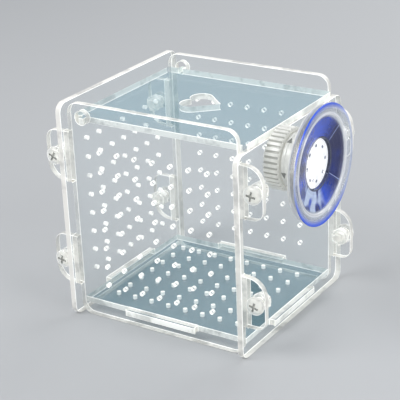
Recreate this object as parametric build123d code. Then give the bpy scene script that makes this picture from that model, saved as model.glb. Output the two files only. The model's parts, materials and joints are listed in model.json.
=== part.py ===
from build123d import *
import math
import os

# Fish breeding box: five acrylic sheets slotted together and held by eight
# plastic screws, a hinged lid, and a twist-lock suction cup on the right.
# Millimetres. X runs along the front, from the lid's pivots to the cup.
# Y runs from front to back and Z is up. The sizes below are measured from the
# middle of the box, and every piece is moved to the part's origin when saved.

# --- sheets and chamber
sheet = 3.0                # thickness of every acrylic sheet
inner_width = 94.0         # clear chamber along X
inner_depth = 84.0         # clear chamber along Y
inner_height = 94.0        # floor to lid
wall_rise = 10.3           # front, back and left panels above the lid's underside
floor_height = 4.5         # underside of the floor above the table
side_overhang = 5.0        # side panels past the front and back faces
wall_corner = 6.0          # corner radius of the front and back panels
side_corner = 5.0          # corner radius of the side panels

# --- perforations
perforation = 2.5          # across a hole
perforation_sides = 6      # flats that stand for the round
pitch = 10.0               # from hole to hole
column_margin = 17.0       # side panel to first column, front and back
edge_margin = 12.0         # wall to first hole, floor and left panel
first_row = 11.0           # floor to lowest row
row_margin = 12.0          # least space from the top row to the lid

# --- slots and tabs
slot_play = 0.2            # a slot is this much wider than its tab
ear_reach_left = 11.0      # ears past the left panel
ear_reach_right = 9.4      # ears past the right panel
ear_height = 26.0
ear_inset = 28.4           # middle of an ear from the panel's end
ear_corner = 5.5           # upper left and lower right corner of a row of ears
ear_round = 9.0            # the other two corners
floor_tab = 40.0           # length of each of the floor's four tabs
floor_tab_proud = 0.5      # tab past the wall's outer face

# --- ear screws and nuts
screw_radius = 2.5
screw_hole_play = 0.15     # on the radius, in the ear
screw_thread_play = 0.05   # on the radius, in the nut
screw_head_radius = 4.5
screw_head_height = 3.0
screw_head_edge = 1.2      # bevel round the head
screw_tip = 2.0            # shank past the nut
nut_across_flats = 8.0
nut_height = 4.0
screw_sides = 12           # flats that stand for the round

# --- lid
lid_gap = 0.5              # lid to front, back and left panels
lid_rest = 2.0             # lid's free edge on the right panel's top
lid_corner = 1.5
pivot_inset = 8.0          # pivot axis from the left panel
pivot_rise = 3.0           # pivot axis above the lid's underside
pivot_width = 2.8          # tab along X
pivot_hole_radius = 3.4
heart_lobe_radius = 5.5
heart_lobe_spacing = 9.4   # between the lobes' centres
heart_length = 19.0
heart_tip = 9.5            # tip of the cut-out from the middle of the box
heart_y = 1.8              # its middle line

# --- suction cup: axis and bolt
cup_inset = 30.5           # axis behind the front panel's outer face
cup_drop = 11.3            # axis below the right panel's top
bolt_radius = 3.0
bolt_hole_play = 0.1       # on the radius, in the panel
bolt_fit = 0.05            # on the radius, in knob and hub
bolt_head_radius = 5.5
bolt_head_height = 2.2
bolt_end_gap = 2.0         # bolt end to the bottom of the hub's bore

# --- lock knob
knob_gap = 0.3             # knob to panel, and hub to knob
knob_radius = 15.0
knob_length = 7.7          # ribbed grip
knob_grooves = 36
groove_depth = 0.8
groove_width = 1.3
knob_web = 3.7             # wall that turns on the bolt
knob_pocket_radius = 8.5
boss_length = 5.0          # screwed boss inside the housing's collar

# --- cup housing
collar_fit = 0.05          # on the radius, between boss and collar
collar_gap = 0.5           # collar to grip, cup released
collar_bore = 11.0         # radius
collar_radius = 13.0
collar_length = 5.1
bell_length = 6.1
throat_length = 6.0        # straight bore before the bell opens
ring_radius = 27.1         # wide end of the bell, behind the cup's lip
ring_wall = 1.9
ring_length = 0.5

# --- centre disc and suction cup
hub_radius = 6.0
hub_length = 14.0
disc_radius = 11.7
disc_thickness = 1.6
disc_play = 0.1            # on the radius, in the cup's pocket
disc_sunk = 1.0            # how deep the disc sits in the cup
cup_radius = 28.5
cup_web = 1.1              # soft layer in front of the disc
cup_flat_radius = 12.0
cup_depth = 3.2            # lip ahead of the middle
rim_width = 0.8            # flat annulus that meets the glass
lip_thickness = 0.6
cup_shoulder = 13.5        # outer radius of the pocket's wall
middle_radius = 24.1       # thick middle of the cup
middle_thickness = 1.6
skirt_radius = 24.7        # inner end of the thin lip
skirt_thickness = 0.86

# --- places that follow from the sizes
half_width = inner_width / 2
half_depth = inner_depth / 2
outer_x = half_width + sheet
outer_y = half_depth + sheet
floor_top = floor_height + sheet
lid_z = floor_top + inner_height
wall_height = lid_z + wall_rise
left_tip = outer_x + ear_reach_left
right_tip = outer_x + ear_reach_right
ear_rows = (ear_inset, wall_height - ear_inset)
screw_places = (-(outer_x + left_tip) / 2, (outer_x + right_tip) / 2)
pivot_x = -half_width + pivot_inset
pivot_z = lid_z + pivot_rise
cup_y = -outer_y + cup_inset
cup_z = lid_z - cup_drop
knob_start = outer_x + knob_gap
knob_end = knob_start + knob_length
boss_end = knob_end + boss_length
collar_start = knob_end + collar_gap
bell_start = collar_start + collar_length
ring_start = bell_start + bell_length
ring_end = ring_start + ring_length
hub_start = knob_start + knob_web + knob_gap
disc_back = hub_start + hub_length
disc_front = disc_back + disc_thickness
cup_front = disc_front + cup_web
lip_x = cup_front + cup_depth
middle_of_part = (lip_x - left_tip) / 2


def save(name, shape):
    """Moves a piece to the part's origin and writes it."""
    placed = Pos(-middle_of_part, 0, 0) * shape
    placed.label = name
    export_step(placed, f"parts/{name}.step")


def fitting_count(clear, margin_low, margin_high):
    """How many holes fit between two walls at the pitch."""
    return int((clear - margin_low - margin_high) / pitch + 1e-6) + 1


def perforations(columns, rows, middle):
    """A grid of small holes, centred at a height on the sheet."""
    hole = RegularPolygon(perforation / 2, perforation_sides, major_radius=False)
    places = GridLocations(pitch, pitch, columns, rows)
    return [(Pos(0, middle) * place * hole).wire() for place in places]


def pierced(outline, holes):
    """A flat sheet outline with small holes that stay clear of its edges."""
    face = outline.face()
    return Face(face.outer_wire(), list(face.inner_wires()) + holes)


def wall_perforations(columns):
    """The grid of a wall, its lowest row set by the floor."""
    rows = fitting_count(inner_height, first_row, row_margin)
    middle = floor_top + first_row + (rows - 1) * pitch / 2
    return perforations(columns, rows, middle)


def floor_slot():
    """The slot that a floor tab stands in, resting on its lower edge."""
    height = sheet + slot_play
    return Pos(0, floor_height + height / 2) * Rectangle(floor_tab + slot_play, height)


def row_of_ears():
    """Both ears of a row as one bar, rounder at its lower left and upper right."""
    bar = Pos((right_tip - left_tip) / 2, 0) * Rectangle(left_tip + right_tip, ear_height)
    rising = sorted(bar.vertices(), key=lambda v: v.X + v.Y)
    bar = fillet([rising[0], rising[-1]], ear_round)
    falling = sorted(bar.vertices(), key=lambda v: v.X - v.Y)
    return fillet([falling[0], falling[-1]], ear_corner)


def front_or_back_panel(side):
    """Perforated wall with four ears: side -1 is the front, +1 the back."""
    outline = Pos(0, wall_height / 2) * RectangleRounded(inner_width, wall_height, wall_corner)
    for row in ear_rows:
        outline += Pos(0, row) * row_of_ears()
        for place in screw_places:
            hole = RegularPolygon(screw_radius + screw_hole_play, screw_sides, major_radius=False)
            outline -= Pos(place, row) * hole
    outline -= Pos(pivot_x, pivot_z) * Circle(pivot_hole_radius)
    outline -= floor_slot()
    columns = fitting_count(inner_width, column_margin, column_margin)
    sheet_face = pierced(outline, wall_perforations(columns))
    panel = extrude(Plane.XZ.offset(-sheet / 2) * sheet_face, sheet)
    return Pos(0, side * (half_depth + sheet / 2), 0) * panel


def side_blank(height):
    """Outline of a side panel with the slots for ears and floor."""
    length = 2 * (outer_y + side_overhang)
    outline = Pos(0, height / 2) * RectangleRounded(length, height, side_corner)
    slot = Rectangle(sheet + slot_play, ear_height + slot_play)
    for row in ear_rows:
        for end in (-1, 1):
            outline -= Pos(end * (half_depth + sheet / 2), row + slot_play / 2) * slot
    return outline - floor_slot()


def left_panel():
    columns = fitting_count(inner_depth, edge_margin, edge_margin)
    outline = pierced(side_blank(wall_height), wall_perforations(columns))
    return extrude(Plane.YZ.offset(-outer_x) * outline, sheet)


def right_panel():
    """Lower than the other walls, because the lid's free edge lies on it."""
    outline = side_blank(lid_z)
    outline -= Pos(cup_y, cup_z) * Circle(bolt_radius + bolt_hole_play)
    return extrude(Plane.YZ.offset(half_width) * outline, sheet)


def floor_panel():
    outline = Rectangle(inner_width - slot_play, inner_depth - slot_play)
    outline += Rectangle(2 * (outer_x + floor_tab_proud), floor_tab)
    outline += Rectangle(floor_tab, 2 * (outer_y + floor_tab_proud))
    columns = fitting_count(inner_width, edge_margin, edge_margin)
    rows = fitting_count(inner_depth, edge_margin, edge_margin)
    outline = pierced(outline, perforations(columns, rows, 0))
    return extrude(Plane.XY.offset(floor_height) * outline, sheet)


def heart():
    """Cut-out for fingers and food: two lobes and a straight-sided tip."""
    back_reach = heart_length - heart_lobe_radius
    half = heart_lobe_spacing / 2
    to_tip = math.hypot(back_reach, half)
    turn = math.acos(heart_lobe_radius / to_tip) - math.atan2(half, back_reach)
    touch_x = heart_lobe_radius * math.cos(turn)
    touch_y = half + heart_lobe_radius * math.sin(turn)
    tip = Polygon(
        (back_reach, 0), (touch_x, touch_y), (0, half), (0, -half), (touch_x, -touch_y), align=None
    )
    lobes = GridLocations(1, heart_lobe_spacing, 1, 2) * Circle(heart_lobe_radius)
    return Pos(heart_tip - back_reach, heart_y) * (tip + lobes)


def lid():
    """Plate with two pivot tabs that turn in the round holes of the walls."""
    left = -half_width + lid_gap
    right = half_width + lid_rest
    depth = inner_depth - 2 * lid_gap
    outline = Pos((left + right) / 2, 0) * RectangleRounded(right - left, depth, lid_corner)
    outline += Pos(pivot_x, 0) * Rectangle(pivot_width, 2 * outer_y)
    outline -= heart()
    return extrude(Plane.XY.offset(lid_z) * outline, sheet)


def prism(radius, length):
    """Upright round bar of the screws' own coarseness."""
    return extrude(RegularPolygon(radius, screw_sides, major_radius=False), length)


def screw():
    """Pan-head screw, head at the top, its seat at the origin."""
    length = sheet + nut_height + screw_tip
    head = prism(screw_head_radius, screw_head_height)
    head = chamfer(head.faces().sort_by(Axis.Z)[-1].edges(), screw_head_edge)
    return head + Pos(0, 0, -length) * prism(screw_radius, length)


def nut():
    """Hexagon nut that clamps the ear from inside."""
    hexagon = RegularPolygon(nut_across_flats / 2, 6, major_radius=False, rotation=30)
    return extrude(hexagon, nut_height) - prism(screw_radius + screw_thread_play, nut_height)


def ear_fasteners():
    """One screw and one nut in each of the eight ears."""
    one_screw = screw()
    one_nut = nut()
    for side, wall in ((-1, "front"), (1, "back")):
        outwards = Rot(-90 * side, 0, 0)
        for place, hand in zip(screw_places, ("left", "right")):
            for row, level in zip(ear_rows, ("lower", "upper")):
                seat = Pos(place, side * outer_y, row) * outwards
                save(f"screw_{wall}_{hand}_{level}", seat * one_screw)
                nut_seat = seat * Pos(0, 0, -sheet - nut_height)
                save(f"nut_{wall}_{hand}_{level}", nut_seat * one_nut)


def turned(*points):
    """Piece turned about the cup's axis from (x, radius) points."""
    return Pos(0, cup_y, cup_z) * revolve(make_face(Polyline(*points, close=True)), Axis.X)


def cup_bolt():
    """Low head inside the chamber, shank through panel and knob into the hub."""
    head_x = half_width - bolt_head_height
    end_x = disc_back - bolt_end_gap
    return turned(
        (head_x, 0),
        (head_x, bolt_head_radius - bolt_head_height / 2),
        (half_width - bolt_head_height / 2, bolt_head_radius),
        (half_width, bolt_head_radius),
        (half_width, bolt_radius),
        (end_x, bolt_radius),
        (end_x, 0),
    )


def lock_knob():
    """Ribbed grip whose web turns between panel and hub, with a screwed boss."""
    grip = Circle(knob_radius)
    grip -= PolarLocations(knob_radius, knob_grooves) * Rectangle(2 * groove_depth, groove_width)
    grip = Pos(knob_start, cup_y, cup_z) * extrude(Plane.YZ * grip, knob_length)
    boss_radius = collar_bore - collar_fit
    web_x = knob_start + knob_web
    boss = turned(
        (web_x, 0), (web_x, boss_radius), (boss_end, boss_radius), (boss_end, 0)
    )
    bore = turned(
        (knob_start, 0),
        (knob_start, bolt_radius + bolt_fit),
        (web_x, bolt_radius + bolt_fit),
        (web_x, knob_pocket_radius),
        (boss_end, knob_pocket_radius),
        (boss_end, 0),
    )
    return grip + boss - bore


def cup_housing():
    """Collar and bell whose wide end is pushed towards the cup's lip."""
    inner = ring_radius - ring_wall
    return turned(
        (collar_start, collar_bore),
        (collar_start, collar_radius),
        (bell_start, collar_radius),
        (ring_start, ring_radius),
        (ring_end, ring_radius),
        (ring_end, inner),
        (ring_start, inner),
        (collar_start + throat_length, collar_bore),
    )


def centre_disc():
    """Stiff white disc moulded into the cup, with the hub that takes the bolt."""
    bore = bolt_radius + bolt_fit
    return turned(
        (hub_start, bore),
        (hub_start, hub_radius),
        (disc_back, hub_radius),
        (disc_back, disc_radius),
        (disc_front, disc_radius),
        (disc_front, 0),
        (disc_back, 0),
        (disc_back, bore),
    )


def front_at(radius):
    """Where the cup's hollow front face lies at a radius."""
    run = cup_radius - rim_width - cup_flat_radius
    return cup_front + cup_depth * (radius - cup_flat_radius) / run


def suction_cup():
    pocket = disc_radius + disc_play
    pocket_x = disc_front - disc_sunk
    return turned(
        (disc_front, 0),
        (disc_front, pocket),
        (pocket_x, pocket),
        (pocket_x, cup_shoulder),
        (front_at(middle_radius) - middle_thickness, middle_radius),
        (front_at(skirt_radius) - skirt_thickness, skirt_radius),
        (lip_x - lip_thickness, cup_radius),
        (lip_x, cup_radius),
        (lip_x, cup_radius - rim_width),
        (cup_front, cup_flat_radius),
        (cup_front, 0),
    )


os.makedirs("parts", exist_ok=True)
save("front_panel", front_or_back_panel(-1))
save("back_panel", front_or_back_panel(1))
save("left_panel", left_panel())
save("right_panel", right_panel())
save("floor_panel", floor_panel())
save("lid", lid())
save("cup_bolt", cup_bolt())
save("lock_knob", lock_knob())
save("cup_housing", cup_housing())
save("centre_disc", centre_disc())
save("suction_cup", suction_cup())
ear_fasteners()
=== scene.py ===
# %% [markdown]
# # A clear fish breeding box
#
# The object is a small box of laser-cut acrylic sheets that hangs inside an
# aquarium. Five sheets slot together, plastic screws lock their ears, a lid
# turns on two tabs, and a suction cup with a twist lock sits on the right wall.
#
# The solids come from the frame: every size that can be read from them is read,
# so the pieces made here lie exactly where the solids are.

# %% Load the frame
import json
import math

import bmesh
import bpy
from mathutils import Matrix, Vector


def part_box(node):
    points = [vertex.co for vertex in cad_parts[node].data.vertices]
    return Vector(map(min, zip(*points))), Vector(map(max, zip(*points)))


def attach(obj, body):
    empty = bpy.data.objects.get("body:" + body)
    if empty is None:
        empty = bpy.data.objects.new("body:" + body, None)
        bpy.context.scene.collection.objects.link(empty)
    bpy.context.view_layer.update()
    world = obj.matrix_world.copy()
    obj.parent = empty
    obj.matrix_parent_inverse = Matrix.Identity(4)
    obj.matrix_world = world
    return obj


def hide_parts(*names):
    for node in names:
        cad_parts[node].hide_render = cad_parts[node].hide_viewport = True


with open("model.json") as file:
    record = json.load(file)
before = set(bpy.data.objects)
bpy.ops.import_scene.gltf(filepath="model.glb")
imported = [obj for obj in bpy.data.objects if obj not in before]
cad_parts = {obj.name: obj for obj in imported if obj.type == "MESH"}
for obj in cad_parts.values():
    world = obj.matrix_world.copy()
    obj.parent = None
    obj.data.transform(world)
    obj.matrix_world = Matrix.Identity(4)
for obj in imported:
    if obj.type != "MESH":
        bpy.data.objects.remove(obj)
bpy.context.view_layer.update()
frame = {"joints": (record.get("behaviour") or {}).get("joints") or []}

MM = 0.001

# %% [markdown]
# ## Places that follow from the solids
#
# A sheet is as thick as its solid, an ear is as high as the slot it fills, and
# every screw sits where its solid sits. Reading these keeps one truth.

# %% Sizes read from the solids
front_low, front_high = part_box("front_panel")
back_low, back_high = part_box("back_panel")
left_low, left_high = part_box("left_panel")
right_low, right_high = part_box("right_panel")
floor_low, floor_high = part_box("floor_panel")
lid_low, lid_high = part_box("lid")

middle_x = (floor_low.x + floor_high.x) / 2
half_width = (right_low.x - left_high.x) / 2
half_depth = (back_low.y - front_high.y) / 2
wall_height = front_high.z
sheet = front_high.y - front_low.y
print("chamber in mm:", [round(v * 2000, 1) for v in (half_width, half_depth)])


def middle_of(node):
    """Middle of a solid's box."""
    low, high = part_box(node)
    return (low + high) / 2


cup_axis = middle_of("lock_knob")
pivot = Vector(frame["joints"][0]["pos_m"])
ear_rows = [middle_of(f"screw_front_left_{level}").z for level in ("lower", "upper")]
screw_places = [middle_of(f"screw_front_{hand}_lower").x - middle_x for hand in ("left", "right")]

# %% Sizes that the solids can't tell
wall_corner = 6 * MM
side_corner = 5 * MM
ear_height = 26 * MM
ear_corner = 5.5 * MM
ear_round = 9 * MM
slot_play = 0.2 * MM
floor_tab = 40 * MM
screw_hole = 2.65 * MM
pivot_hole = 3.4 * MM
bolt_hole = 3.1 * MM
perforation = 2.2 * MM
pitch = 10 * MM
first_row = 11 * MM
chamfer = 0.25 * MM
weld = 0.001 * MM

# %% [markdown]
# ## One way to write node trees
#
# Blender's materials and Geometry Nodes are both node trees. A small class adds
# a node in one line: its kind, its settings, and what goes into its sockets. A
# second class wraps a socket, so that sums and products read like arithmetic.


# %% Helpers for node trees
class Wire:
    """An output socket that takes part in Python arithmetic."""

    def __init__(self, board, socket):
        self.board = board
        self.socket = socket

    def math(self, operation, other=None):
        return self.board.math(operation, self, other)

    def __add__(self, other):
        return self.math("ADD", other)

    def __radd__(self, other):
        return self.board.math("ADD", other, self)

    def __sub__(self, other):
        return self.math("SUBTRACT", other)

    def __rsub__(self, other):
        return self.board.math("SUBTRACT", other, self)

    def __mul__(self, other):
        return self.math("MULTIPLY", other)

    def __rmul__(self, other):
        return self.board.math("MULTIPLY", other, self)

    def __truediv__(self, other):
        return self.math("DIVIDE", other)

    def __pow__(self, other):
        return self.math("POWER", other)

    def absolute(self):
        return self.math("ABSOLUTE")

    def root(self):
        return self.math("SQRT")

    def wrapped(self, period):
        """The remainder, always between zero and the period."""
        return self.math("FLOORED_MODULO", period)

    def above(self, limit):
        return self.math("GREATER_THAN", limit)

    def below(self, limit):
        return self.math("LESS_THAN", limit)

    def ramp(self, low, high, to_low=0.0, to_high=1.0):
        """Smooth step from to_low to to_high while the value goes from low to high."""
        inputs = {0: self, 1: low, 2: high, 3: to_low, 4: to_high}
        settings = {"interpolation_type": "SMOOTHSTEP"}
        return self.board.add("ShaderNodeMapRange", inputs, **settings).wire()


class Node:
    """A node with its board, so that its outputs can be wrapped."""

    def __init__(self, board, node):
        self.board = board
        self.node = node

    def wire(self, name=0):
        return Wire(self.board, self.node.outputs[name])


class Board:
    """Adds nodes to a tree."""

    def __init__(self, tree):
        self.tree = tree

    def add(self, kind, inputs=None, **settings):
        node = self.tree.nodes.new(kind)
        for name, value in settings.items():
            setattr(node, name, value)
        for name, value in (inputs or {}).items():
            for source in value if isinstance(value, list) else [value]:
                self.feed(node.inputs[name], source)
        return Node(self, node)

    def feed(self, socket, source):
        if isinstance(source, Node):
            source = source.wire()
        if isinstance(source, Wire):
            self.tree.links.new(source.socket, socket)
        else:
            socket.default_value = source

    def math(self, operation, first, second=None):
        inputs = {0: first} if second is None else {0: first, 1: second}
        return self.add("ShaderNodeMath", inputs, operation=operation).wire()

    def axes(self, place):
        """The three coordinates of a vector."""
        split = self.add("ShaderNodeSeparateXYZ", {"Vector": place})
        return [split.wire(axis) for axis in "XYZ"]

    def vector(self, **parts):
        """A vector from any of X, Y and Z."""
        return self.add("ShaderNodeCombineXYZ", parts).wire()


def new_group(name, inputs, output):
    """A Geometry Nodes tree with its sockets, its board and its input node."""
    tree = bpy.data.node_groups.new(name, "GeometryNodeTree")
    for socket, kind in inputs:
        tree.interface.new_socket(socket, in_out="INPUT", socket_type=f"NodeSocket{kind}")
    tree.interface.new_socket(output, in_out="OUTPUT", socket_type="NodeSocketGeometry")
    board = Board(tree)
    return tree, board, board.add("NodeGroupInput")


# %% [markdown]
# ## Finishes
#
# Clear acrylic shows itself by its edges. Light that enters a sheet travels
# inside it and leaves at the cut edges, so the broad faces are nearly invisible
# and the edges are white. Each sheet therefore gets four finishes: a faint one
# for its faces, a frosted one for its long laser-cut edges, a brighter one for
# the walls of its small holes, because light gathers round them, and the
# brightest for the thin melted rim between a long edge and a face.
#
# The faces are drawn without bending light. A real sheet bends it and makes a
# hole look short, so the finish of a hole shows only part of its wall.


# %% A material with a Principled shader
def finish(name, values):
    """A new material, its board and its shader, with even values set on the shader."""
    material = bpy.data.materials.new(name)
    material.use_nodes = True
    tree = material.node_tree
    tree.nodes.clear()
    board = Board(tree)
    shader = board.add("ShaderNodeBsdfPrincipled", values)
    board.add("ShaderNodeOutputMaterial", {"Surface": shader})
    return material, board, shader.node


def object_place(board):
    """The surface point in the object's own coordinates, which are the row frame."""
    return board.add("ShaderNodeTexCoord").wire("Object")


def noise(board, place, size, detail=3.0, roughness=0.6):
    """Soft noise whose blobs are about one size across."""
    inputs = {"Vector": place, "Scale": 1 / size, "Detail": detail, "Roughness": roughness}
    return board.add("ShaderNodeTexNoise", inputs).wire("Fac")


def opaque(colour):
    """Three numbers become a colour that Blender takes; wires stay as they are."""
    return (*colour, 1.0) if isinstance(colour, tuple) else colour


def mixed(board, share, low, high):
    """A colour between two colours."""
    inputs = {"Factor": share, "A": opaque(low), "B": opaque(high)}
    return board.add("ShaderNodeMix", inputs, data_type="RGBA").wire("Result")


def scaled(colour, share):
    return tuple(share * part for part in colour)


def bump(board, height, strength, distance):
    inputs = {"Height": height, "Strength": strength, "Distance": distance}
    return board.add("ShaderNodeBump", inputs).wire("Normal")


def glance(board, blend):
    """0 where a surface faces the eye and 1 where it is seen from the side."""
    return board.add("ShaderNodeLayerWeight", {"Blend": blend}).wire("Facing")


# %% Broad faces of a sheet
acrylic_ior = 1.49
wipe_size = 18 * MM
scratch_size = 0.9 * MM


def clear_face(name, colour, opacity):
    """Nearly invisible, with faint wipe marks and a fuller tint where seen from the side."""
    values = {"IOR": acrylic_ior, "Base Color": opaque(colour)}
    material, board, shader = finish(name, values)
    place = object_place(board)
    wipes = noise(board, place, wipe_size, 4.0)
    scratches = noise(board, place, scratch_size, 2.0).ramp(0.72, 0.8) * 0.04
    tint = glance(board, 0.35) ** 3 * 0.25
    board.feed(shader.inputs["Roughness"], wipes.ramp(0.35, 0.75, 0.03, 0.12))
    board.feed(shader.inputs["Alpha"], opacity + tint + scratches)
    return material


wall_face = clear_face("acrylic_wall_face", (0.62, 0.78, 0.84), 0.045)
tinted_face = clear_face("acrylic_tinted_face", (0.10, 0.36, 0.46), 0.17)

# %% Where a finish shows
hole_shown = 1.9 * MM
hole_shift = 0.65 * MM
hole_fade = 0.3 * MM


def shown_depth(board, place):
    """1 in the part of a hole's wall that a bending sheet leaves in sight, 0 beyond it."""
    x, y, z = board.axes(place)
    from_walls = ((y + hole_shift).absolute() - (half_depth + sheet / 2)).absolute()
    from_left = (x - (middle_of("left_panel").x + hole_shift)).absolute()
    from_floor = (z - (middle_of("floor_panel").z + hole_shift)).absolute()
    nearest = from_floor.math("MINIMUM", from_left.math("MINIMUM", from_walls))
    return 1.0 - nearest.ramp(hole_shown / 2 - hole_fade, hole_shown / 2 + hole_fade)


def in_walls(board, place):
    """1 on the part of an edge that stands in the walls' slots or over their tops."""
    x, y, _ = board.axes(place)
    across = (x - middle_x).absolute().above(half_width + sheet / 2)
    along = y.absolute().above(half_depth + sheet / 2)
    return across.math("MAXIMUM", along)


# %% Cut edges and melted rims
line_size = 0.35 * MM
cloud_size = 12 * MM
tab_glow = 0.13
tab_opacity = 0.12


def cut_edge(name, colour, opacity, glow, unevenness, shown=None, lit=None):
    """Frosted by the laser: fine lines cross the edge and the light inside leaves through it.

    shown, where given, limits the edge to a part of its depth, and lit says where the edge
    shines more.
    """
    full_glow = glow + tab_glow if lit else glow
    values = {"IOR": acrylic_ior, "Emission Strength": full_glow}
    material, board, shader = finish(name, values)
    place = object_place(board)
    lines = noise(board, place, line_size, 2.0)
    clouds = noise(board, place, cloud_size, 3.0).ramp(0.34, 0.56)
    tone = mixed(board, clouds, scaled(colour, 1 - unevenness), colour)
    light = tone
    alpha = opacity + clouds * (unevenness / 2)
    if shown:
        alpha = alpha * shown(board, place)
    if lit:
        share = lit(board, place)
        light = mixed(board, share, scaled(colour, glow / full_glow), colour)
        alpha = alpha + share * tab_opacity
    board.feed(shader.inputs["Base Color"], tone)
    # Emission paints the glow of the light that leaves the edge, stronger where lit says.
    board.feed(shader.inputs["Emission Color"], light)
    board.feed(shader.inputs["Roughness"], lines.ramp(0.3, 0.7, 0.22, 0.42))
    board.feed(shader.inputs["Alpha"], alpha)
    board.feed(shader.inputs["Normal"], bump(board, lines, 0.25, 0.05 * MM))
    return material


frosted_edge = cut_edge("acrylic_cut_edge", (0.93, 0.91, 0.85), 0.66, 0.09, 0.30)
# Painted glow: the tinted sheets' tabs, in the slots and over the wall tops, shine more.
tinted_edge = cut_edge(
    "acrylic_tinted_edge", (0.90, 0.92, 0.88), 0.70, 0.11, 0.36, lit=in_walls
)
# Painted glow: the walls of the small holes glow more than the long edges.
hole_wall = cut_edge(
    "acrylic_hole_wall", (1.0, 1.0, 0.97), 0.92, 0.28, 0.10, shown=shown_depth
)
# Painted highlight: the melted rim glows most of all.
bright_rim = cut_edge("acrylic_melted_rim", (1.0, 1.0, 0.96), 0.84, 0.34, 0.16)
print("acrylic finishes:", len(bpy.data.materials))

# %% [markdown]
# ## The sheets
#
# A laser cuts flat outlines, so each sheet is drawn flat: closed loops of
# points for its outline, slots and large holes. A Geometry Nodes tree adds the
# grid of small holes, fills the outline and lifts it to the sheet's thickness.
# The same tree serves all six sheets, because only its inputs differ. A narrow
# bevel then breaks the long cut edges, as the laser's heat does.


# %% Loops of points
def arc(centre, radius, start, sweep, steps):
    """Points along an arc, both ends included."""
    angles = [start + sweep * i / steps for i in range(steps + 1)]
    return [centre + radius * Vector((math.cos(a), math.sin(a))) for a in angles]


def circle(x, y, radius, steps=40):
    return arc(Vector((x, y)), radius, 0, 2 * math.pi, steps)[:-1]


def rounded(corners, steps=7):
    """A closed loop from (x, y, radius) corners."""
    loop = []
    for i, (x, y, radius) in enumerate(corners):
        corner = Vector((x, y))
        if not radius:
            loop.append(corner)
            continue
        before = (Vector(corners[i - 1][:2]) - corner).normalized()
        after = (Vector(corners[(i + 1) % len(corners)][:2]) - corner).normalized()
        half = before.angle(after) / 2
        centre = corner + (before + after).normalized() * radius / math.sin(half)
        first = corner + before * radius / math.tan(half) - centre
        sweep = first.angle_signed(corner + after * radius / math.tan(half) - centre)
        loop += arc(centre, radius, math.atan2(first.y, first.x), -sweep, steps)
    return loop


def rectangle(x, y, width, height, radius=0.0):
    signs = ((-1, -1), (1, -1), (1, 1), (-1, 1))
    return rounded([(x + a * width / 2, y + b * height / 2, radius) for a, b in signs])


# %% The tree that cuts a sheet
# A face of a small hole's wall is narrower than this share of the hole's radius,
# and a face of any other cut edge is wider, which tells the two apart.
hole_facet = 0.36
hole_steps = 20
sharp = math.radians(60)


def sheet_tree():
    """Fills loops around a grid of holes, lifts them to a sheet and marks its long edges."""
    tree, board, given = new_group("laser_cut_sheet", [
        ("Outline", "Geometry"),
        ("Thickness", "Float"), ("Hole radius", "Float"), ("Pitch", "Float"),
        ("Columns", "Int"), ("Rows", "Int"), ("Grid middle", "Vector"),
        ("Face finish", "Material"), ("Edge finish", "Material"), ("Hole finish", "Material"),
    ], "Sheet")
    columns, rows, step = (given.wire(name) for name in ("Columns", "Rows", "Pitch"))
    thickness, radius = given.wire("Thickness"), given.wire("Hole radius")
    grid = board.add("GeometryNodeMeshGrid", {
        "Size X": (columns - 1) * step, "Size Y": (rows - 1) * step,
        "Vertices X": columns, "Vertices Y": rows,
    })
    spots = board.add("GeometryNodeTransform", {
        "Geometry": grid, "Translation": given.wire("Grid middle"),
    })
    hole = board.add("GeometryNodeCurvePrimitiveCircle", {
        "Resolution": hole_steps, "Radius": radius,
    })
    holes = board.add("GeometryNodeInstanceOnPoints", {"Points": spots, "Instance": hole})
    holes = board.add("GeometryNodeRealizeInstances", {"Geometry": holes})
    outline = board.add("GeometryNodeMeshToCurve", {"Mesh": given.wire("Outline")})
    loops = board.add("GeometryNodeJoinGeometry", {"Geometry": [holes, outline]})
    flat = board.add("GeometryNodeFillCurve", {"Curve": loops}, mode="TRIANGLES")
    top = board.add("GeometryNodeExtrudeMesh", {
        "Mesh": flat, "Offset": board.vector(Z=thickness), "Offset Scale": 1.0,
        "Individual": False,
    })
    bottom = board.add("GeometryNodeFlipFaces", {"Mesh": flat})
    closed = board.add("GeometryNodeJoinGeometry", {"Geometry": [top.wire("Mesh"), bottom]})
    welded = board.add("GeometryNodeMergeByDistance", {
        "Geometry": closed, "Distance": 0.01 * MM,
    })
    narrow = thickness * radius * hole_facet
    area = board.add("GeometryNodeInputMeshFaceArea").wire("Area")
    in_hole = board.add("FunctionNodeBooleanMath", {
        0: top.wire("Side"), 1: area.below(narrow),
    }, operation="AND")
    beside_hole = board.add("GeometryNodeFieldOnDomain", {
        "Value": in_hole,
    }, data_type="BOOLEAN", domain="FACE")
    bend = board.add("GeometryNodeInputMeshEdgeAngle").wire("Unsigned Angle")
    melted = board.add("FunctionNodeBooleanMath", {
        0: bend.above(sharp), 1: beside_hole,
    }, operation="NIMPLY")
    marked = board.add("GeometryNodeStoreNamedAttribute", {
        "Geometry": welded, "Name": "bevel_weight_edge", "Value": melted,
    }, data_type="FLOAT", domain="EDGE")
    done = board.add("GeometryNodeRealizeInstances", {"Geometry": marked})
    parts = {"Face finish": True, "Edge finish": top.wire("Side"), "Hole finish": in_hole}
    for finish_name, part in parts.items():
        done = board.add("GeometryNodeSetMaterial", {
            "Geometry": done, "Selection": part, "Material": given.wire(finish_name),
        })
    board.add("NodeGroupOutput", {"Sheet": done})
    return tree


sheet_cutter = sheet_tree()
print("sheet tree nodes:", len(sheet_cutter.nodes))


# %% Objects and meshes
def linked(name, data):
    """A new object in the scene for a mesh, a lamp or a camera."""
    item = bpy.data.objects.new(name, data)
    bpy.context.scene.collection.objects.link(item)
    return item


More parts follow.
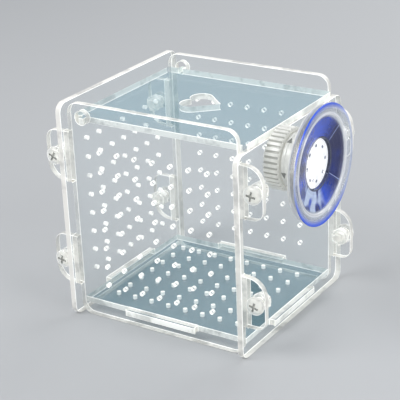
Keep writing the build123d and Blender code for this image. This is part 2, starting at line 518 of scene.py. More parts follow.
def loops_object(name, loops):
    """A mesh that holds closed loops of edges."""
    points, edges = [], []
    for loop in loops:
        start = len(points)
        points += [(p.x, p.y, 0.0) for p in loop]
        edges += [(start + i, start + (i + 1) % len(loop)) for i in range(len(loop))]
    mesh = bpy.data.meshes.new(name)
    mesh.from_pydata(points, edges, [])
    return linked(name, mesh)


def ringed_mesh(name, rings, around=False, capped=False):
    """A skin over rings of points. It goes around when the last ring joins the first."""
    work = bmesh.new()
    rows = [[work.verts.new(point) for point in ring] for ring in rings]
    for here, there in zip(rows, rows[1:] + (rows[:1] if around else [])):
        for i in range(len(here)):
            j = (i + 1) % len(here)
            work.faces.new((here[i], here[j], there[j], there[i]))
    if capped:
        work.faces.new(reversed(rows[0]))
        work.faces.new(rows[-1])
    bmesh.ops.remove_doubles(work, verts=work.verts, dist=weld)
    bmesh.ops.dissolve_degenerate(work, edges=work.edges, dist=weld)
    bmesh.ops.recalc_face_normals(work, faces=work.faces)
    mesh = bpy.data.meshes.new(name)
    work.to_mesh(mesh)
    work.free()
    return mesh


def set_inputs(modifier, values):
    """Sets a Geometry Nodes modifier's inputs by their sockets' names."""
    for item in modifier.node_group.interface.items_tree:
        if item.item_type == "SOCKET" and item.in_out == "INPUT" and item.name in values:
            modifier[item.identifier] = values[item.name]


def made_plain(host, name):
    """The evaluated host as a plain mesh object of its own; the host goes."""
    graph = bpy.context.evaluated_depsgraph_get()
    mesh = bpy.data.meshes.new_from_object(host.evaluated_get(graph), depsgraph=graph)
    bpy.data.objects.remove(host)
    mesh.name = name
    return linked(name, mesh)


def drop_slivers(mesh):
    """Splits all faces into triangles and dissolves those without area."""
    work = bmesh.new()
    work.from_mesh(mesh)
    bmesh.ops.triangulate(work, faces=work.faces)
    bmesh.ops.dissolve_degenerate(work, edges=work.edges, dist=2 * weld)
    work.to_mesh(mesh)
    work.free()


def shade(piece, angle):
    """Smooth shading that stops at edges sharper than the angle."""
    for face in piece.data.polygons:
        face.use_smooth = True
    piece.data.set_sharp_from_angle(angle=math.radians(angle))


# %% From loops to a finished sheet
def cut_sheet(node, body, loops, lay, grid, finishes):
    """Cuts one sheet from its loops and lays it where its solid is."""
    columns, rows, centre = grid
    host = loops_object(node, loops)
    cutter = host.modifiers.new("cut", "NODES")
    cutter.node_group = sheet_cutter
    set_inputs(cutter, {
        "Thickness": sheet, "Hole radius": perforation / 2, "Pitch": pitch,
        "Columns": columns, "Rows": rows, "Grid middle": (*centre, 0.0),
        "Face finish": finishes[0], "Edge finish": finishes[1], "Hole finish": hole_wall,
    })
    blank = made_plain(host, node)
    if blank.data.materials[0] is None:
        blank.data.materials.pop(index=0)
    blank.data.materials.append(bright_rim)
    rim = blank.modifiers.new("rim", "BEVEL")
    rim.width = chamfer
    rim.limit_method = "WEIGHT"
    rim.use_clamp_overlap = False
    rim.material = len(blank.data.materials) - 1
    piece = made_plain(blank, f"{node}_cut")
    drop_slivers(piece.data)
    piece.data.transform(lay)
    shade(piece, 30)
    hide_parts(node)
    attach(piece, body)
    print(node, "faces:", len(piece.data.polygons), "slots:", len(piece.data.materials))
    return piece


# %% [markdown]
# ### Front and back
#
# Both walls are the same cut: a rounded rectangle with two ears at each end, a
# round hole for the lid's pivot near the upper left corner, a slot for the
# floor's tab, and seven columns by eight rows of small holes.


# %% Front and back walls
def upright_x(y):
    """Lays a flat drawing upright along X, its first face at y, growing towards the viewer."""
    return Matrix(((1, 0, 0, middle_x), (0, 0, -1, y), (0, 1, 0, 0), (0, 0, 0, 1)))


def ears(edge, tip, rows, climb):
    """Corners of the ears on one side, upwards for climb 1. Each ear's far end is rounder."""
    corners = []
    for row in rows:
        near, far = row - climb * ear_height / 2, row + climb * ear_height / 2
        corners += [
            (edge, near, 0), (tip, near, ear_corner), (tip, far, ear_round), (edge, far, 0),
        ]
    return corners


def floor_slot():
    height = sheet + slot_play
    return rectangle(0, floor_low.z + height / 2, floor_tab + slot_play, height)


columns, rows = 7, 8
row_middle = floor_high.z + first_row + (rows - 1) * pitch / 2
upright_grid = (columns, rows, (0, row_middle))
no_grid = (0, 0, (0, 0))
wall_finishes = (wall_face, frosted_edge)

wall_loops = [
    rounded(
        [(-half_width, 0, wall_corner), (half_width, 0, wall_corner)]
        + ears(half_width, front_high.x - middle_x, ear_rows, 1)
        + [(half_width, wall_height, wall_corner), (-half_width, wall_height, wall_corner)]
        + ears(-half_width, front_low.x - middle_x, reversed(ear_rows), -1)
    ),
    circle(pivot.x - middle_x, pivot.z, pivot_hole, 48),
    floor_slot(),
]
wall_loops += [circle(place, row, screw_hole) for place in screw_places for row in ear_rows]
for node, outer in (("front_panel", front_high.y), ("back_panel", back_high.y)):
    cut_sheet(node, "box", wall_loops, upright_x(outer), upright_grid, wall_finishes)

# %% [markdown]
# ### Left and right
#
# The side walls run a little past the others, and the ears come through their
# slots. The left one is perforated. The right one is lower, so that the lid can
# lie on it, and is plain apart from the suction cup's bolt hole.


# %% Side walls
def upright_y(x):
    """Lays a flat drawing upright along Y, its first face at x."""
    return Matrix(((0, 0, 1, x), (1, 0, 0, 0), (0, 1, 0, 0), (0, 0, 0, 1)))


def side_loops(height):
    """Outline, floor slot and ear slots of a side wall."""
    loops = [rectangle(0, height / 2, left_high.y - left_low.y, height, side_corner)]
    loops.append(floor_slot())
    for end in (-1, 1):
        y = end * (half_depth + sheet / 2)
        loops += [
            rectangle(y, row + slot_play / 2, sheet + slot_play, ear_height + slot_play)
            for row in ear_rows
        ]
    return loops


left_loops = side_loops(wall_height)
cut_sheet(
    "left_panel", "box", left_loops, upright_y(left_low.x), upright_grid, wall_finishes
)
right_loops = side_loops(right_high.z) + [circle(cup_axis.y, cup_axis.z, bolt_hole)]
cut_sheet(
    "right_panel", "box", right_loops, upright_y(right_low.x), no_grid, wall_finishes
)

# %% [markdown]
# ### Floor and lid
#
# The floor has one tab for each wall. The lid has two narrow pivot tabs and a
# heart-shaped hole for feeding. Both lie flat, where they mirror more of their
# surroundings than the walls do, and get a deeper blue-green tint.

# %% Floor
flat_x = half_width - slot_play / 2
flat_y = half_depth - slot_play / 2
tab = floor_tab / 2
tab_x = floor_high.x - middle_x
tab_y = floor_high.y
tinted_finishes = (tinted_face, tinted_edge)

half_outline = [
    (flat_x, tab), (tab_x, tab), (tab_x, -tab), (flat_x, -tab), (flat_x, -flat_y),
    (tab, -flat_y), (tab, -tab_y), (-tab, -tab_y), (-tab, -flat_y), (-flat_x, -flat_y),
]
floor_corners = half_outline + [(-x, -y) for x, y in half_outline]
floor_loop = [Vector(point) for point in reversed(floor_corners)]
cut_sheet(
    "floor_panel", "box", [floor_loop], Matrix.Translation((middle_x, 0, floor_low.z)),
    (rows, columns, (0, 0)), tinted_finishes,
)

# %% Lid
lobe = 5.5 * MM
lobe_offset = 4.7 * MM
heart_tip = 9.5 * MM
heart_back = 13.5 * MM
heart_y = 1.8 * MM
lid_gap = 0.5 * MM
lid_corner = 1.5 * MM
pivot_tab = 1.4 * MM


def heart_loop():
    """Two lobes that meet in a notch, and straight sides to a tip."""
    reach = math.hypot(heart_back, lobe_offset)
    turn = math.acos(lobe / reach) - math.atan2(lobe_offset, heart_back)
    notch = math.pi - math.asin(-lobe_offset / lobe)
    middle = Vector((heart_tip - heart_back, heart_y + lobe_offset))
    upper = arc(middle, lobe, turn, notch - turn, 28)
    lower = [Vector((p.x, 2 * heart_y - p.y)) for p in reversed(upper)]
    return [Vector((heart_tip, heart_y))] + upper + lower[1:]


def lid_loop():
    """A rectangle with one narrow tab at the front and one at the back."""
    left, right = lid_low.x - middle_x, lid_high.x - middle_x
    y = half_depth - lid_gap
    before, after = pivot.x - middle_x - pivot_tab, pivot.x - middle_x + pivot_tab
    front_tab = [
        (before, -y, 0), (before, lid_low.y, 0), (after, lid_low.y, 0), (after, -y, 0),
    ]
    back_tab = [(x, -v, 0) for x, v, _ in reversed(front_tab)]
    ends = [(right, -y, lid_corner), (right, y, lid_corner)]
    return rounded(
        [(left, -y, lid_corner)] + front_tab + ends + back_tab + [(left, y, lid_corner)]
    )


cut_sheet(
    "lid", "lid", [lid_loop(), heart_loop()], Matrix.Translation((middle_x, 0, lid_low.z)),
    no_grid, tinted_finishes,
)

# %% [markdown]
# ## Moulded plastic
#
# Screws, nuts, knob and housing are injection moulded from a clear plastic that
# is a little milky. It scatters some light, so part of what is seen through it
# is lost, and its surface is smooth with a faint orange-peel.


# %% Moulded finishes
def moulded(name, colour, clear, rough, glow=0.0):
    """Smooth plastic with faint clouds in its depth and peel on its skin, and its tone."""
    values = {"IOR": 1.5, "Transmission Weight": clear, "Emission Strength": glow}
    material, board, shader = finish(name, values)
    place = object_place(board)
    wear = noise(board, place, 3 * MM).ramp(0.3, 0.7)
    peel = noise(board, place, 0.6 * MM, 2.0)
    tone = mixed(board, wear, scaled(colour, 0.88), colour)
    board.feed(shader.inputs["Base Color"], tone)
    # Emission paints a glow in the plastic's own tone, as strong as glow.
    board.feed(shader.inputs["Emission Color"], tone)
    board.feed(shader.inputs["Roughness"], rough * (0.7 + wear * 0.6))
    board.feed(shader.inputs["Normal"], bump(board, peel, 0.12, 0.05 * MM))
    return material, board, shader, tone


recess_reach = 3.1 * MM
recess_low = 1.6 * MM
recess_high = 2.8 * MM


def fastener_finish():
    """Clear, with a painted glow, whiter from the side, and painted shade in the eight heads'
    recesses.
    """
    material, board, shader, tone = moulded("clear_plastic", (1.0, 1.0, 0.97), 0.66, 0.07, 0.30)
    x, y, z = board.axes(object_place(board))
    left, right = screw_places
    lower, upper = ear_rows
    across = (x - (middle_x + (left + right) / 2)).absolute() - (right - left) / 2
    upwards = (z - (lower + upper) / 2).absolute() - (upper - lower) / 2
    near_axis = (across * across + upwards * upwards).root().below(recess_reach)
    height = y.absolute() - back_high.y
    # Painted shade: the recesses of the eight heads are darkened, in base colour and glow.
    recess = near_axis * height.above(recess_low) * height.below(recess_high)
    # Painted glow, whiter where a head is seen from the side.
    sideways = glance(board, 0.4).ramp(0.25, 0.75)
    light = mixed(board, sideways, (0.22, 0.22, 0.21), (1.0, 1.0, 0.97))
    board.feed(shader.inputs["Emission Color"], mixed(board, recess, light, (0.0, 0.0, 0.0)))
    board.feed(shader.inputs["Base Color"], mixed(board, recess, tone, (0.30, 0.31, 0.30)))
    return material


clear_plastic = fastener_finish()

# %% [markdown]
# ## Screws and nuts in the ears
#
# Eight identical screws hold the ears. One screw and one nut are modelled, with
# a cross recess, a thread and chamfered corners, and Geometry Nodes place them
# on the eight seats. Front screws point one way and back ones the other, and
# each is turned by a random angle, as screws are when they are done up.

# %% One screw
head_profile = (
    (0.0, 3.0), (2.9, 2.9), (3.8, 2.55), (4.35, 1.85), (4.5, 1.2), (4.5, 0.35), (4.35, 0.0),
)
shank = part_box("screw_front_left_lower")[1].y - front_low.y
screw_radius = 2.5 * MM
point_radius = 1.9 * MM
thread_pitch = 0.8 * MM
thread_depth = 0.35 * MM
thread_steps = 6
screw_steps = 24

arm_half_width = 0.575 * MM
recess_floor = (1.7 * MM, 1.76 * MM)
recess_mouth = (4.1 * MM, 3.2 * MM)


def screw_mesh():
    """Pan head above z = 0, threaded shank below, one closed skin."""
    rise = thread_pitch / thread_steps
    levels = [(r * MM, z * MM, 0.0) for r, z in head_profile]
    levels += [(screw_radius - thread_depth, 0.0, 0.0)]
    levels += [
        (screw_radius, -i * rise, thread_depth) for i in range(1, int(shank / rise))
    ]
    levels += [(point_radius, -shank, 0.0), (0.0, -shank, 0.0)]
    rings = []
    for radius, z, depth in levels:
        ring = []
        for i in range(screw_steps):
            turn = i / screw_steps
            wave = abs(2 * ((z / thread_pitch + turn) % 1.0) - 1)
            angle, r = 2 * math.pi * turn, radius - depth * wave
            ring.append((r * math.cos(angle), r * math.sin(angle), z))
        rings.append(ring)
    return ringed_mesh("screw_model", rings)


def cross_cutter():
    """A cross whose arms shorten downwards, one closed skin."""
    rings = []
    for z, reach in (recess_floor, recess_mouth):
        arm = [
            (reach, -arm_half_width), (reach, arm_half_width), (arm_half_width, arm_half_width),
        ]
        quarters = [Matrix.Rotation(turn * math.pi / 2, 2) for turn in range(4)]
        rings.append([(*(quarter @ Vector(point)), z) for quarter in quarters for point in arm])
    return linked("cross_cutter", ringed_mesh("cross_cutter", rings, capped=True))


def recessed_screw():
    """The screw with the cross cut out of its head."""
    host = linked("screw_blank", screw_mesh())
    cutter = cross_cutter()
    cut = host.modifiers.new("recess", "BOOLEAN")
    cut.operation = "DIFFERENCE"
    cut.solver = "EXACT"
    cut.object = cutter
    screw = made_plain(host, "screw_pattern")
    bpy.data.objects.remove(cutter)
    drop_slivers(screw.data)
    return screw


screw_pattern = recessed_screw()
print("one screw, faces:", len(screw_pattern.data.polygons))

# %% One nut
nut_low, nut_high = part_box("nut_front_left_lower")
nut_flat = (nut_high.x - nut_low.x) / 2
nut_height = nut_high.y - nut_low.y
nut_end = 0.97 * nut_flat
nut_bore = screw_radius + 0.05 * MM
nut_corner_cut = 0.45 * MM
nut_steps = 48


def nut_mesh():
    """Hexagon with its corners turned down at both ends, and a plain bore."""
    levels = [
        (nut_bore, 0.0), (nut_end, 0.0), (None, -nut_corner_cut),
        (None, nut_corner_cut - nut_height), (nut_end, -nut_height), (nut_bore, -nut_height),
    ]
    rings = []
    for radius, z in levels:
        ring = []
        for i in range(nut_steps):
            angle = 2 * math.pi * i / nut_steps
            from_flat = (angle + math.pi / 6) % (math.pi / 3) - math.pi / 6
            r = nut_flat / math.cos(from_flat) if radius is None else radius
            ring.append((r * math.cos(angle), r * math.sin(angle), z))
        rings.append(ring)
    return ringed_mesh("nut_pattern", rings, around=True)


nut_pattern = linked("nut_pattern", nut_mesh())
print("one nut, faces:", len(nut_pattern.data.polygons))


# %% The tree that places fasteners
def fastener_tree():
    """Sets one fastener on every seat, facing outwards and turned by a random angle."""
    tree, board, given = new_group("fasteners_on_seats", [
        ("Seats", "Geometry"), ("Fastener", "Object"), ("Largest turn", "Float"),
        ("Seed", "Int"), ("Finish", "Material"),
    ], "Fasteners")
    model = board.add("GeometryNodeObjectInfo", {
        "Object": given.wire("Fastener"),
    }, transform_space="ORIGINAL")
    _, y, _ = board.axes(board.add("GeometryNodeInputPosition"))
    tilt = board.vector(X=y.math("SIGN") * (-math.pi / 2))
    facing = board.add("FunctionNodeEulerToRotation", {"Euler": tilt})
    set_down = board.add("GeometryNodeInstanceOnPoints", {
        "Points": given.wire("Seats"), "Instance": model.wire("Geometry"), "Rotation": facing,
    })
    chance = board.add("FunctionNodeRandomValue", {
        "Max": given.wire("Largest turn"), "Seed": given.wire("Seed"),
    }, data_type="FLOAT")
    spin = board.add("FunctionNodeEulerToRotation", {
        "Euler": board.vector(Z=chance.wire("Value")),
    })
    spun = board.add("GeometryNodeRotateInstances", {"Instances": set_down, "Rotation": spin})
    real = board.add("GeometryNodeRealizeInstances", {"Geometry": spun})
    done = board.add("GeometryNodeSetMaterial", {
        "Geometry": real, "Material": given.wire("Finish"),
    })
    board.add("NodeGroupOutput", {"Fasteners": done})
    return tree


fastener_placer = fastener_tree()
print("fastener tree nodes:", len(fastener_placer.nodes))


# %% Place them
def placed(name, pattern, points, largest_turn, seed, angle):
    """The pattern on every point as one plain piece; the pattern goes."""
    mesh = bpy.data.meshes.new(name)
    mesh.from_pydata(points, [], [])
    host = linked(name, mesh)
    placer = host.modifiers.new("place", "NODES")
    placer.node_group = fastener_placer
    set_inputs(placer, {
        "Fastener": pattern, "Largest turn": largest_turn, "Seed": seed,
        "Finish": clear_plastic,
    })
    piece = made_plain(host, name)
    shade(piece, angle)
    bpy.data.objects.remove(pattern)
    return piece


def seats(nodes, y_front, y_back):
    """Seats of fasteners: the middles of their solids, moved to a face of the wall."""
    middles = [(node, middle_of(node)) for node in nodes]
    return [(m.x, y_front if "_front_" in node else y_back, m.z) for node, m in middles]


wheres = [
    f"{wall}_{hand}_{level}"
    for wall in ("front", "back") for hand in ("left", "right") for level in ("lower", "upper")
]
screw_nodes = [f"screw_{where}" for where in wheres]
nut_nodes = [f"nut_{where}" for where in wheres]
screw_seats = seats(screw_nodes, front_low.y, back_high.y)
nut_seats = seats(nut_nodes, front_high.y, back_low.y)
screws = placed("ear_screws", screw_pattern, screw_seats, math.pi / 2, 3, 40)
nuts = placed("ear_nuts", nut_pattern, nut_seats, 0.0, 0, 25)
for piece, nodes in ((screws, screw_nodes), (nuts, nut_nodes)):
    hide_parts(*nodes)
    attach(piece, "box")
    print(piece.name, "faces:", len(piece.data.polygons))

# %% [markdown]
# ## The twist lock
#
# A bolt runs from inside the chamber through the wall and the knob into the
# hub of the cup's white centre disc. The knob has a ribbed grip. Turning it
# screws the housing outwards, and the housing's ring presses on the cup.
# All of these are turned shapes, so each is a profile spun about one axis.
# The profiles are written in millimetres.

# %% Places and radii along the axis, in millimetres
knob_low, knob_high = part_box("lock_knob")
housing_low, housing_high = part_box("cup_housing")
disc_low, disc_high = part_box("centre_disc")
bolt_low, bolt_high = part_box("cup_bolt")
cup_low, cup_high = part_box("suction_cup")

grip_start = knob_low.x / MM
grip_end = grip_start + 7.7
cavity_start = grip_start + 3.7
boss_end = knob_high.x / MM
grip_radius = 15.0
groove_root = 14.5
boss_radius = 10.95
boss_bore = 8.5
disc_bore = 3.05

housing_start = housing_low.x / MM
housing_end = housing_high.x / MM
collar_radius = 13.0
collar_bore = 11.0
ring_inner = 25.2
ring_radius = (housing_high.z - housing_low.z) / 2 / MM
ring_back = housing_end - 0.5

wall_inside = right_low.x / MM
bolt_start = bolt_low.x / MM
bolt_end = bolt_high.x / MM
bolt_radius = 3.0
bolt_head = 5.5

disc_hub = disc_low.x / MM
disc_front = disc_high.x / MM
disc_back = disc_front - 1.6
hub_radius = 6.0
disc_radius = 11.7

lip = cup_high.x / MM
cup_radius = (cup_high.z - cup_low.z) / 2 / MM
web_front = disc_front + 1.1
pocket_back = disc_front - 1.0
pocket_radius = 11.8


# %% Turned pieces
def turned(name, profile, segments):
    """A body of revolution about the cup's axis, from a closed profile.

    The profile has (x, radius, rounding) corners in millimetres.
    """
    turns = [2 * math.pi * i / segments for i in range(segments)]
    rings = []
    for x, radius in (point * MM for point in rounded(profile, 3)):
        rings.append([
            (x, cup_axis.y + radius * math.cos(turn), cup_axis.z + radius * math.sin(turn))
            for turn in turns
        ])
    return linked(name, ringed_mesh(name, rings, around=True))


# %% Finishes that follow the axis
def about_axis(board):
    """Of a surface point: x, distance from the cup's axis, and angle about it in degrees."""
    x, y, z = board.axes(object_place(board))
    y = y - cup_axis.y
    z = z - cup_axis.z
    return x, (y * y + z * z).root(), z.math("ARCTAN2", y) * math.degrees(1)


def band(value, rise, fall):
    """1 between two smooth steps, each given by its two ends in millimetres."""
    return value.ramp(rise[0] * MM, rise[1] * MM) * (1.0 - value.ramp(fall[0] * MM, fall[1] * MM))


def knob_finish():
    """Milky, and darker in the grooves of the grip, where less light comes back."""
    material, board, shader, tone = moulded("milky_plastic", (0.95, 0.95, 0.91), 0.25, 0.2, 0.08)
    x, radius, _ = about_axis(board)
    in_groove = band(radius, (12.6, 13.4), (groove_root - 0.2, grip_radius - 0.15))
    before_end = 1.0 - x.ramp((grip_end - 0.7) * MM, (grip_end - 0.3) * MM)
    shadow = mixed(board, in_groove * before_end, tone, (0.46, 0.47, 0.44))
    board.feed(shader.inputs["Base Color"], shadow)
    return material


mark_angle = 24
mark_spread = 32
mark_height = 14
mark_half_width = 1.4 * MM
mark_x = housing_low.x + 1.6 * MM


def housing_finish():
    """Milky, with two pairs of triangles on the collar that show which way it turns."""
    material, board, shader, tone = moulded("milky_housing", (0.93, 0.94, 0.91), 0.35, 0.16, 0.06)
    x, radius, angle = about_axis(board)
    turn = (angle * -1.0 + 180.0 - mark_angle + 90.0).wrapped(180.0) - 90.0
    along = (turn.absolute() - mark_spread) / mark_height
    across = (x - mark_x).absolute()
    inside = along.above(0.0) * across.below((1.0 - along) * mark_half_width)
    on_collar = radius.above((collar_radius - 0.6) * MM) * radius.below((collar_radius + 0.6) * MM)
    marked = mixed(board, inside * on_collar, tone, (0.20, 0.21, 0.20))
    board.feed(shader.inputs["Base Color"], marked)
    return material


pin_marks = 8
pin_ring = 8.6 * MM
pin_half = 1.15 * MM


def disc_finish():
    """White, with a ring of small dark marks where the moulding pins stood."""
    material, board, shader, tone = moulded("white_plastic", (1.0, 1.0, 1.0), 0.0, 0.3, 0.40)
    _, radius, angle = about_axis(board)
    step = 360 / pin_marks
    turn = ((angle + step / 2).wrapped(step) - step / 2) * radius * math.radians(1)
    off = (radius - pin_ring) * 1.3
    mark = 1.0 - (turn * turn + off * off).root().ramp(pin_half * 0.6, pin_half)
    dark = mixed(board, mark, tone, (0.10, 0.12, 0.17))
    board.feed(shader.inputs["Base Color"], dark)
    board.feed(shader.inputs["Emission Color"], dark)
    return material


# %% The tree that ribs a grip
def rib_tree():
    """Presses grooves into everything outside a radius."""
    numbers = ("Ribs", "Groove depth", "Inner radius", "Outer radius", "Axis Y", "Axis Z")
    tree, board, given = new_group("ribbed_grip", [
        ("Blank", "Geometry"), *((name, "Float") for name in numbers), ("Finish", "Material"),
    ], "Grip")
    _, y, z = board.axes(board.add("GeometryNodeInputPosition"))
    y = y - given.wire("Axis Y")
    z = z - given.wire("Axis Z")
    radius = (y * y + z * z).root()
    wave = (z.math("ARCTAN2", y) * given.wire("Ribs")).math("COSINE")
    outside = radius.ramp(given.wire("Inner radius"), given.wire("Outer radius"))
    pull = wave.ramp(0.0, 0.7) * given.wire("Groove depth") * outside * -1.0
    inwards = board.vector(Y=(y / radius) * pull, Z=(z / radius) * pull)
    moved = board.add("GeometryNodeSetPosition", {
        "Geometry": given.wire("Blank"), "Offset": inwards,
    })
    real = board.add("GeometryNodeRealizeInstances", {"Geometry": moved})
    done = board.add("GeometryNodeSetMaterial", {
        "Geometry": real, "Material": given.wire("Finish"),
    })
    board.add("NodeGroupOutput", {"Grip": done})
    return tree


# %% Knob
ribs = 36
groove_depth = 0.8 * MM
rib_root = 13.2
rib_full = 14.2
step_back = grip_end - 0.6

knob = turned("lock_knob_blank", [
    (grip_start, disc_bore, 0.1), (grip_start, grip_radius, 0.7), (grip_end, grip_radius, 0.9),
    (grip_end, rib_root, 0.2), (step_back, 12.6, 0.3), (step_back, boss_radius, 0.1),
    (boss_end, boss_radius, 0.3), (boss_end, boss_bore, 0.3),
    (cavity_start, boss_bore, 0.4), (cavity_start, disc_bore, 0.1),
], ribs * 8)
grip = knob.modifiers.new("ribs", "NODES")
grip.node_group = rib_tree()
set_inputs(grip, {
    "Ribs": float(ribs), "Groove depth": groove_depth,
    "Inner radius": rib_root * MM, "Outer radius": rib_full * MM,
    "Axis Y": cup_axis.y, "Axis Z": cup_axis.z, "Finish": knob_finish(),
})
knob = made_plain(knob, "ribbed_lock_knob")
shade(knob, 40)
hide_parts("lock_knob")
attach(knob, "knob")
print("knob faces:", len(knob.data.polygons))

# %% Housing
housing = turned("bell_housing", [
    (housing_start, collar_bore, 0.2), (housing_start, collar_radius, 0.5),
    (housing_start + 1.6, collar_radius, 0.1), (housing_start + 1.9, 12.7, 0.1),
    (housing_start + 2.3, collar_radius, 0.1), (housing_start + 5.1, collar_radius, 1.5),
    (ring_back, ring_radius, 0.2), (housing_end, ring_radius, 0.2),
    (housing_end, ring_inner, 0.2), (ring_back, ring_inner, 0.2),
    (housing_start + 6.0, collar_bore, 0.5),
], 96)
housing.data.materials.append(housing_finish())
shade(housing, 40)
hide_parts("cup_housing")
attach(housing, "housing")
print("housing faces:", len(housing.data.polygons))

# %% Bolt and centre disc
bolt = turned("clear_bolt", [
    (bolt_start, 0.0, 0.0), (bolt_start, 4.4, 0.6), (bolt_start + 1.1, bolt_head, 0.5),
    (wall_inside, bolt_head, 0.2), (wall_inside, bolt_radius, 0.1),
    (bolt_end, bolt_radius, 0.3), (bolt_end, 0.0, 0.0),
], 48)
bolt.data.materials.append(clear_plastic)
shade(bolt, 40)
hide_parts("cup_bolt")
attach(bolt, "box")

disc = turned("white_centre_disc", [
    (disc_hub, disc_bore, 0.2), (disc_hub, hub_radius, 0.4), (disc_back, hub_radius, 0.4),
    (disc_back, disc_radius, 0.3), (disc_front, disc_radius, 0.3), (disc_front, 0.0, 0.0),
    (disc_back, 0.0, 0.0), (disc_back, disc_bore, 0.1),
], 72)
disc.data.materials.append(disc_finish())
shade(disc, 40)
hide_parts("centre_disc")
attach(disc, "box")
print("bolt and disc faces:", len(bolt.data.polygons), len(disc.data.polygons))

# %% [markdown]
# ## The suction cup
#
# A soft vinyl dish, moulded round the white disc. Its hollow face is a clear
# blue, darker on the right and with pale patches low on the left, a painted
# reflection of the studio. Painted shade darkens a ring round the disc, in
# the gap between disc and vinyl. Two fine ridges seal against the glass, and
# the thin lip outside them is almost colourless with a blue edge. All of it
# is worked out from the distance and the angle about the axis, on Object
# coordinates.

# %% Colours of the vinyl
deep_blue = (0.001, 0.006, 0.09)
royal_blue = (0.004, 0.085, 0.78)
reflection_blue = (0.62, 0.74, 0.98)
line_blue = (0.36, 0.44, 0.72)
gap_shade_blue = (0.004, 0.008, 0.05)
edge_blue = (0.02, 0.11, 0.86)
edge_pale = (0.58, 0.68, 0.97)
rings_dark = (0.34, 0.40, 0.52)
rings_light = (0.80, 0.87, 0.97)
bead_white = (0.94, 0.96, 0.99)


# %% Vinyl finish
def dish_colour(board, radius, angle, side, up, flow, place):
    """Blue that flows outwards, painted reflection in pale patches, two fine lines, painted shade
    round the disc.
    """
    lively = flow * (1.0 - side.ramp(0.1, 0.8) * 0.8)
    low_left = (side * -0.5 - up * 0.87).ramp(0.72, 0.93)
    # Painted reflection of the studio: pale patches low on the left.
    patches = noise(board, place, 0.5, 1.0).ramp(0.38, 0.52) * low_left
    blue = mixed(board, patches, mixed(board, lively, deep_blue, royal_blue), reflection_blue)
    # Painted shade: a dark ring in the gap round the disc.
    blue = mixed(board, band(radius, (11.7, 12.0), (12.4, 13.0)), blue, gap_shade_blue)
    off_line = (angle.absolute() - 38.0).absolute() * radius * math.radians(1)
    line = (1.0 - off_line.ramp(0.08 * MM, 0.28 * MM)) * radius.above(13 * MM)
    return mixed(board, line * side.above(0.0), blue, line_blue)


def vinyl():
    """Soft clear vinyl: blue in the dish and along the edge, ringed and clear between them."""
    values = {"IOR": 1.53, "Roughness": 0.06, "Coat Weight": 0.35, "Coat Roughness": 0.03}
    material, board, shader = finish("blue_vinyl", values)
    _, radius, angle = about_axis(board)
    side = (angle * math.radians(1)).math("COSINE")
    up = (angle * math.radians(1)).math("SINE")
    place = board.vector(X=side * 1.43, Y=up * 1.43, Z=radius / (20 * MM))
    flow = noise(board, place, 1.0).ramp(0.36, 0.62)
    blue = dish_colour(board, radius, angle, side, up, flow, place)
    outwards = board.vector(X=radius / (1.3 * MM))
    outside_disc = radius.above(12 * MM)
    rings = noise(board, outwards, 1.0, 1.0).ramp(0.35, 0.65) * outside_disc
    dish = band(radius, (11.6, 12.4), (21.4, 22.6))
    bead = band(radius, (22.2, 22.7), (23.7, 24.5))
    bluer = (up.absolute() - side * 0.3).ramp(0.15, 0.95)
    edge_start = (cup_radius - 1.1) * MM - bluer * (2.6 * MM)
    edge = radius.ramp(edge_start, (cup_radius - 0.4) * MM)
    clear = mixed(board, bead, mixed(board, rings, rings_dark, rings_light), bead_white)
    rim = mixed(board, edge, clear, mixed(board, bluer, edge_pale, edge_blue))
    board.feed(shader.inputs["Base Color"], mixed(board, dish, rim, blue))
    body = 0.08 + outside_disc * 0.10 + rings * 0.14 + bead * 0.42
    alpha = body + edge * (0.30 + bluer * 0.34) + dish * (0.68 - flow * 0.14)
    board.feed(shader.inputs["Alpha"], alpha)
    return material


# %% Cup
cup = turned("vinyl_suction_cup", [
    (disc_front, 0.0, 0.0), (disc_front, pocket_radius, 0.05),
    (pocket_back, pocket_radius, 0.05), (pocket_back, 13.5, 0.6),
    (lip - 2.45, 23.6, 0.8), (lip - 1.6, 24.7, 0.4),
    (lip - 0.6, cup_radius, 0.2), (lip, cup_radius, 0.2),
    (lip, 27.7, 0.4), (lip - 0.45, 26.5, 0.2), (lip - 0.2, 26.2, 0.1), (lip - 0.2, 25.8, 0.1),
    (lip - 0.62, 25.5, 0.2), (lip - 1.05, 23.6, 0.2), (lip - 0.75, 23.3, 0.1),
    (lip - 0.75, 22.8, 0.1), (lip - 1.35, 22.4, 0.3),
    (web_front + 0.1, 12.6, 2.0), (web_front, 11.2, 0.3), (web_front, 0.0, 0.0),
], 128)
cup.data.materials.append(vinyl())
shade(cup, 40)
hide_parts("suction_cup")
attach(cup, "box")
print("cup faces:", len(cup.data.polygons))

# %% [markdown]
# ## Floor, light and camera
#
# A plain pale floor, a soft world and three soft lamps. The camera stands where
# the photograph was taken: its place was found by fitting the box's edges.


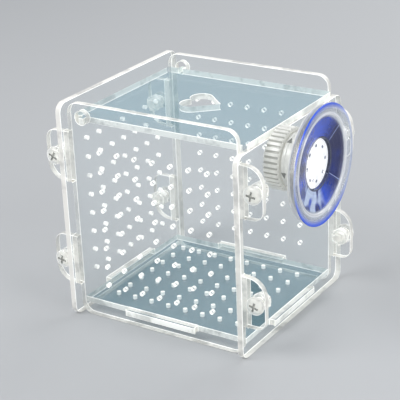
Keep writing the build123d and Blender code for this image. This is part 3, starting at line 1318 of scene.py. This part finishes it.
# %% Stage
def plain_floor():
    bpy.ops.mesh.primitive_plane_add(size=8, location=(0, 0, -0.0002))
    floor = bpy.context.object
    floor.name = "pale_floor"
    values = {"Base Color": (0.46, 0.47, 0.48, 1), "Roughness": 0.8}
    floor.data.materials.append(finish("pale_floor", values)[0])


def lamp(name, place, size, power):
    """A square soft lamp that shines at the middle of the box."""
    data = bpy.data.lights.new(name, "AREA")
    data.size = size
    data.energy = power
    item = linked(name, data)
    item.location = place
    towards = Vector((0, 0, 0.05)) - Vector(place)
    item.rotation_euler = towards.to_track_quat("-Z", "Y").to_euler()


plain_floor()
lamp("key", (-0.45, -0.75, 0.95), 0.7, 9.0)
lamp("side", (0.95, -0.15, 0.65), 0.6, 5.0)
lamp("back", (0.1, 0.9, 0.8), 0.8, 6.0)
world = bpy.data.worlds.new("soft_world")
bpy.context.scene.world = world
world.use_nodes = True
sky = world.node_tree.nodes["Background"]
sky.inputs["Color"].default_value = (0.92, 0.95, 1.0, 1)
sky.inputs["Strength"].default_value = 0.45
print("lamps:", len(bpy.data.lights))

# %% Camera
azimuth = math.radians(32.98)
elevation = math.radians(23.32)
roll = math.radians(-2.35)
distance = 0.6594
focal_pixels = 1322
picture_pixels = 400
target = Vector((middle_x, 0, 0.05))
target_pixel = (205.6, 205.8)
outwards = Vector((
    math.sin(azimuth) * math.cos(elevation),
    -math.cos(azimuth) * math.cos(elevation),
    math.sin(elevation),
))
view = bpy.data.cameras.new("view")
camera = linked("view", view)
camera.matrix_world = (
    Matrix.Translation(target + outwards * distance)
    @ outwards.to_track_quat("Z", "Y").to_matrix().to_4x4()
    @ Matrix.Rotation(roll, 4, "Z")
)
view.sensor_width = 36
view.lens = focal_pixels / picture_pixels * view.sensor_width
view.shift_x = (picture_pixels / 2 - target_pixel[0]) / picture_pixels
view.shift_y = (target_pixel[1] - picture_pixels / 2) / picture_pixels
view.clip_start = 0.01
bpy.context.scene.camera = camera
bpy.context.scene.view_settings.view_transform = "Standard"
